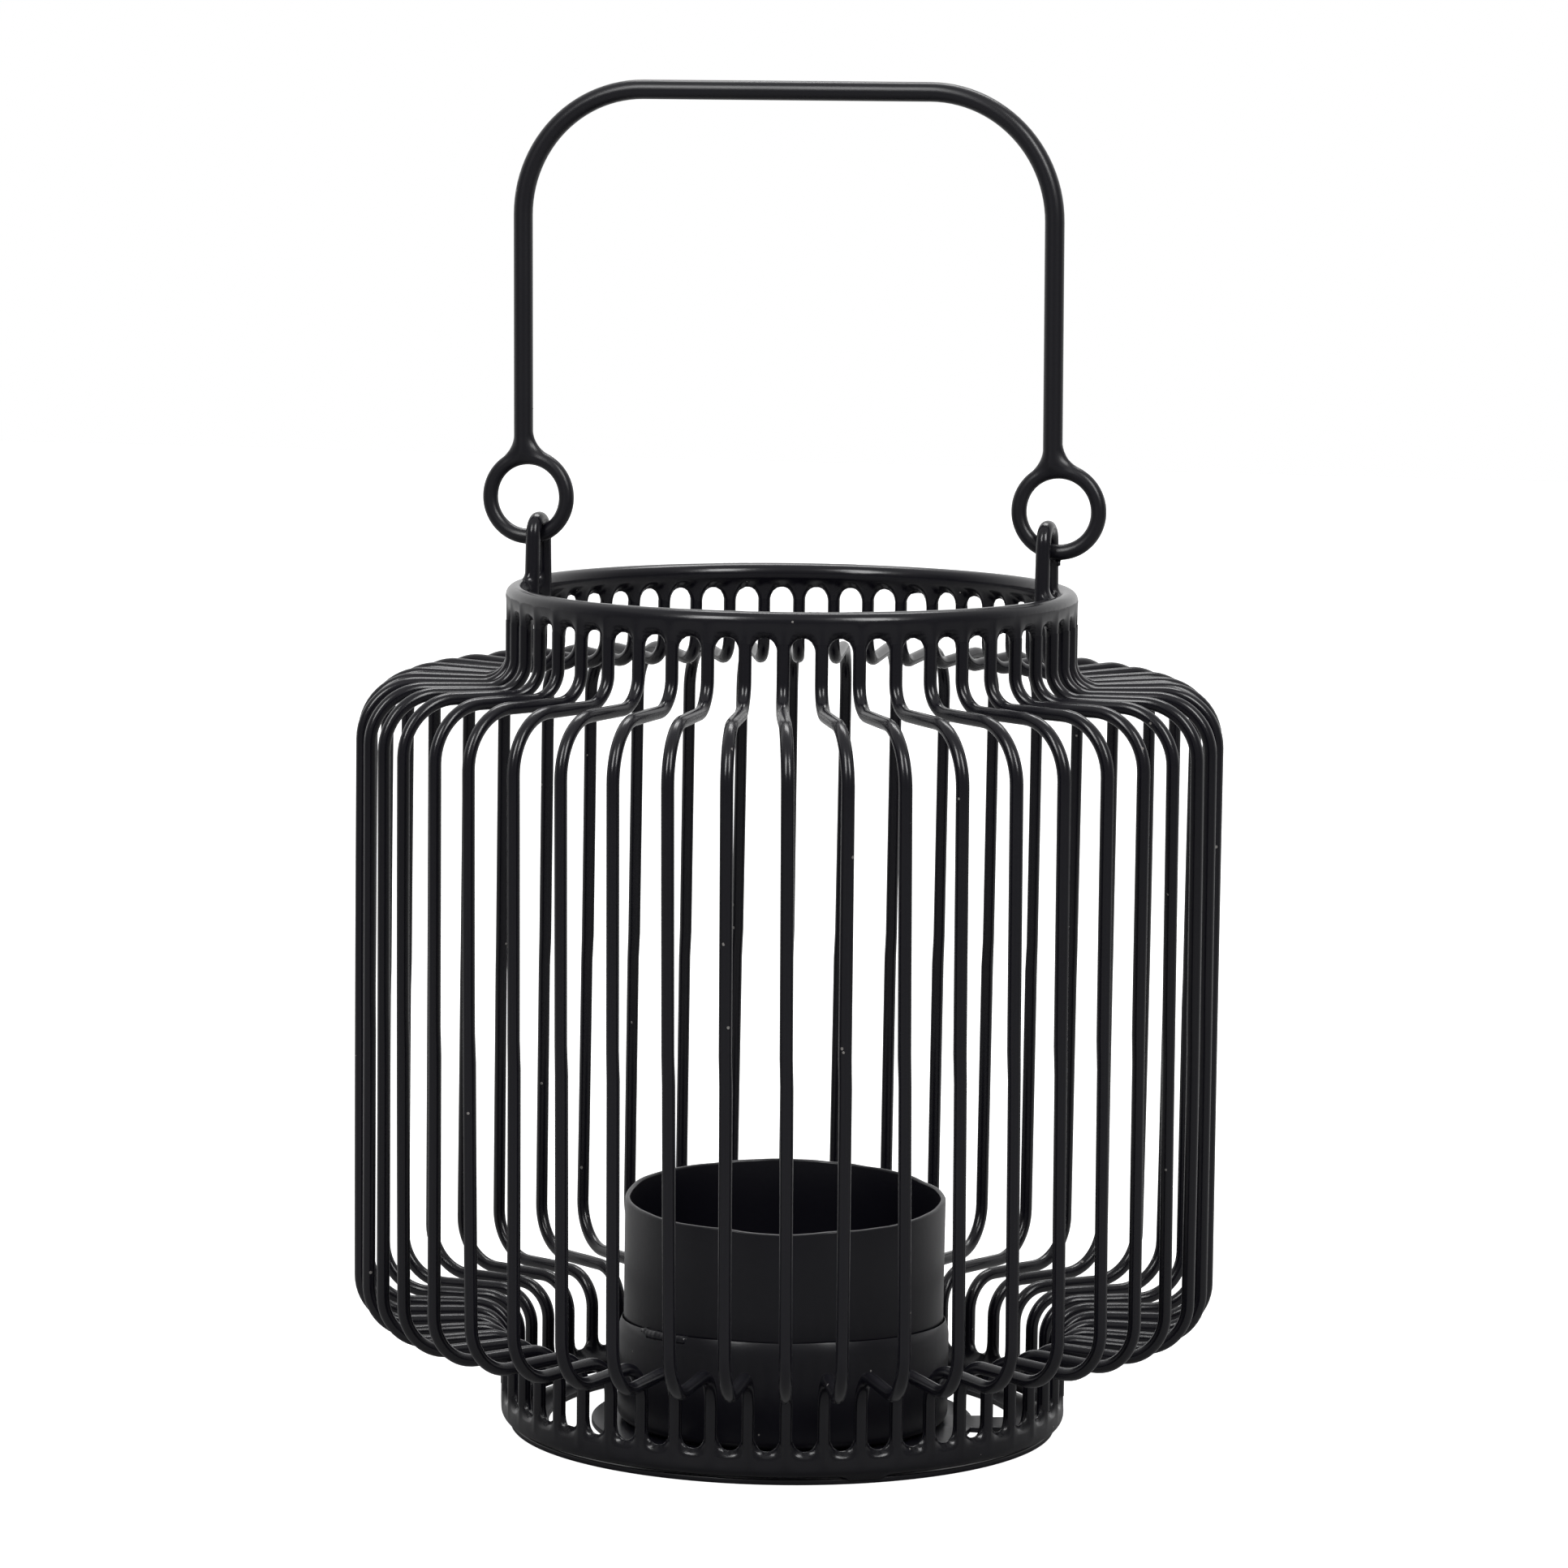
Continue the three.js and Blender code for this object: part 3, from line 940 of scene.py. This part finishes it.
def eye(name, node, leg):
    low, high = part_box(node)
    centre = (low + high) / 2
    radius = (high.x - low.x) / 2 - EYE_ROD
    upright = Matrix.Rotation(math.radians(90), 3, "X")
    bm = bmesh.new()
    add_ring(bm, radius, 0, EYE_ROD + FORK_SWELL, steps=64, sides=28)
    bmesh.ops.rotate(bm, verts=bm.verts, cent=(0, 0, 0), matrix=upright)
    bmesh.ops.translate(bm, verts=bm.verts, vec=centre)
    root = Vector((leg, centre.y, centre.z + radius + FORK_RISE))
    near = BAIL_ROD + FORK_SWELL
    add_ball(bm, Matrix.Translation(root), near, 28, 14)
    add_stub(bm, root, (0, 0, 1), FORK_REACH, near, near - FORK_TAPER, sides=28)
    mesh = melted(bm, FORK_SWELL, FORK_VOXEL, shrink_steps=10, hold=FORK_HOLD)
    print(name, "faces:", len(mesh.polygons))
    finish_piece(name, mesh, HANDLE_COAT, HANDLE, [node])


eye("eye_left_fork", "handle_eye_left", BAIL_LEFT)
eye("eye_right_fork", "handle_eye_right", BAIL_RIGHT)

# %% [markdown]
# ## Floor, light and air
# The lantern stands on a white sweep that burns out to plain white and takes no shadow. The
# camera sees the floor's own glow. Everything else, such as the reflections in the black paint,
# meets a grey floor with painted shade in its colour: darker at the front, where the studio is dim
# on the camera's side, and lighter at the back, where the light comes from. Black gloss shows
# nothing but its surroundings, so these matter most.

# %% Fades
def fade(tree, value, start, end, low, high):
    """Low up to the start, high from the end on, and a smooth change between them."""
    node = add_node(tree, "ShaderNodeMapRange", interpolation_type="SMOOTHSTEP")
    tree.links.new(value, node.inputs["Value"])
    for label, number in (("From Min", start), ("From Max", end), ("To Min", low), ("To Max", high)):
        node.inputs[label].default_value = number
    return node.outputs["Result"]


def to_the_back(tree, vector):
    """How far a place or a direction points from the studio's front to its back."""
    node = add_node(tree, "ShaderNodeVectorMath", operation="DOT_PRODUCT")
    node.inputs[1].default_value = -TO_CAMERA
    tree.links.new(vector, node.inputs[0])
    return node.outputs["Value"]


def is_camera_ray(tree):
    return add_node(tree, "ShaderNodeLightPath").outputs["Is Camera Ray"]


# %% Floor
WHITE = (1, 1, 1, 1)
FLOOR_SIZE = 3.0
FLOOR_ROUGHNESS = 0.7

floor_mesh = bpy.data.meshes.new("floor")
bm = bmesh.new()
bmesh.ops.create_grid(bm, x_segments=8, y_segments=8, size=FLOOR_SIZE)
bm.to_mesh(floor_mesh)
bm.free()
floor_white = bpy.data.materials.new("floor_white")
floor_white.use_nodes = True
tree = floor_white.node_tree
sweep = tree.nodes["Principled BSDF"]
# The floor's grey is painted shade: its colour is darker at the front and lighter at the back, as the
# studio's light falls.
painted_floor_shade = fade(tree, to_the_back(tree, object_point(tree)), start=-0.15, end=0.4, low=0.22, high=0.6)
tree.links.new(painted_floor_shade, sweep.inputs["Base Color"])
tree.links.new(is_camera_ray(tree), sweep.inputs["Emission Strength"])
sweep.inputs["Roughness"].default_value = FLOOR_ROUGHNESS
sweep.inputs["Emission Color"].default_value = WHITE
floor_mesh.materials.append(floor_white)
floor = bpy.data.objects.new("floor", floor_mesh)
bpy.context.scene.collection.objects.link(floor)
print("floor:", [round(value, 1) for value in floor.dimensions])

# %% [markdown]
# Two tall soft boxes stand either side of the camera and draw a thin bright line down each
# wire. A wide one hangs high behind the lantern and edges the rings.

# %% Light
MIDDLE = Vector((0, 0, 0.1))
BOX_DISTANCE = 1.2
TALL_BOX = (0.28, 0.56)
WIDE_BOX = (0.7, 0.3)


def soft_box(name, azimuth, elevation, size, watts):
    """A soft box that many degrees to the right of the camera and above the floor."""
    side = math.radians(azimuth)
    rise = math.radians(elevation)
    out = Vector((math.sin(side) * math.cos(rise), -math.cos(side) * math.cos(rise), math.sin(rise)))
    place = MIDDLE + out * BOX_DISTANCE
    data = bpy.data.lights.new(name, "AREA")
    data.shape = "RECTANGLE"
    data.size, data.size_y = size
    data.energy = watts
    lamp = bpy.data.objects.new(name, data)
    aim = (MIDDLE - place).to_track_quat("-Z", "Y")
    lamp.matrix_world = turn @ Matrix.Translation(place) @ aim.to_matrix().to_4x4()
    bpy.context.scene.collection.objects.link(lamp)
    print(name, "at", [round(value, 2) for value in lamp.matrix_world.translation])


soft_box("left_box", -35, 37, TALL_BOX, watts=5.5)
soft_box("right_box", 35, 37, TALL_BOX, watts=5.5)
soft_box("back_box", 170, 62, WIDE_BOX, watts=5.0)

# %% [markdown]
# The room itself is the World: bright behind the lantern and dim on the camera's side, with a
# soft ceiling. The camera sees it as plain white.

# %% World
world = bpy.data.worlds.new("studio")
world.use_nodes = True
bpy.context.scene.world = world
tree = world.node_tree
direction = add_node(tree, "ShaderNodeTexCoord").outputs["Generated"]
heights = add_node(tree, "ShaderNodeSeparateXYZ")
tree.links.new(direction, heights.inputs["Vector"])
overhead = fade(tree, heights.outputs["Z"], start=0.2, end=0.8, low=0.0, high=0.5)
wall = fade(tree, to_the_back(tree, direction), start=-0.3, end=0.9, low=0.2, high=0.95)
brighter = maths(tree, "MAXIMUM", overhead, wall)
strength = maths(tree, "MAXIMUM", brighter, is_camera_ray(tree))
background = tree.nodes["Background"]
background.inputs["Color"].default_value = WHITE
tree.links.new(strength, background.inputs["Strength"])
bpy.context.scene.view_settings.view_transform = "Standard"
print("world:", len(tree.nodes), "nodes")
